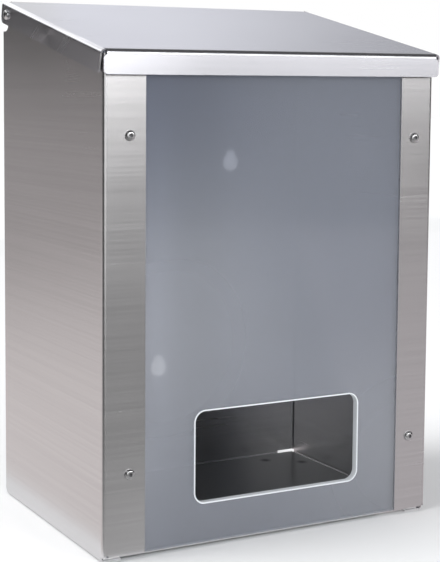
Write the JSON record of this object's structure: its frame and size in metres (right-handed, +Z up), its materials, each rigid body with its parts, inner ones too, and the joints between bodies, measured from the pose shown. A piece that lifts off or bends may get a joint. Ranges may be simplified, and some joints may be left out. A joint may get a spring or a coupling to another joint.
{
  "type": "disposable glove dispenser",
  "caption": "Wall-mounted sheet steel glove dispenser with a clear front pane, a rounded reach-through cut-out and a hinged sloping lid.",
  "frame": {"origin": "centre of the overall bounding box in plan, at the height of the case's bottom face", "axes": "+X to the right seen from the front, -Y out of the front pane, +Y towards the wall, +Z up"},
  "size_m": [0.291, 0.1964, 0.4005],
  "materials": {
    "sheet_steel": "stainless sheet with a fine horizontal brushed grain",
    "lid_steel": "stainless sheet with a fine brushed grain",
    "clear_acrylic": "clear polished acrylic with sawn, slightly frosted edges",
    "fastener_steel": "plain stainless fasteners",
    "spacer_nylon": "natural nylon"
  },
  "bodies": {
    "case": {"case_shell": "sheet_steel", "floor_plate": "sheet_steel", "hinge_lock_nut_left": "fastener_steel", "hinge_lock_nut_right": "fastener_steel", "hinge_screw_left": "fastener_steel", "hinge_screw_right": "fastener_steel", "hinge_spacer_left": "spacer_nylon", "hinge_spacer_right": "spacer_nylon", "hinge_washer_left": "fastener_steel", "hinge_washer_right": "fastener_steel", "window_cap_nut_lower_left": "fastener_steel", "window_cap_nut_lower_right": "fastener_steel", "window_cap_nut_upper_left": "fastener_steel", "window_cap_nut_upper_right": "fastener_steel", "window_panel": "clear_acrylic", "window_screw_lower_left": "fastener_steel", "window_screw_lower_right": "fastener_steel", "window_screw_upper_left": "fastener_steel", "window_screw_upper_right": "fastener_steel", "window_washer_lower_left": "fastener_steel", "window_washer_lower_right": "fastener_steel", "window_washer_upper_left": "fastener_steel", "window_washer_upper_right": "fastener_steel"},
    "lid": {"lid": "lid_steel"}
  },
  "joints": [
    {"name": "lid_hinge", "type": "hinge", "parent": "case", "child": "lid", "pos_m": [0, 0.07927, 0.389], "axis": [-1, 0, 0], "range_deg": [0, 105]}
  ]
}
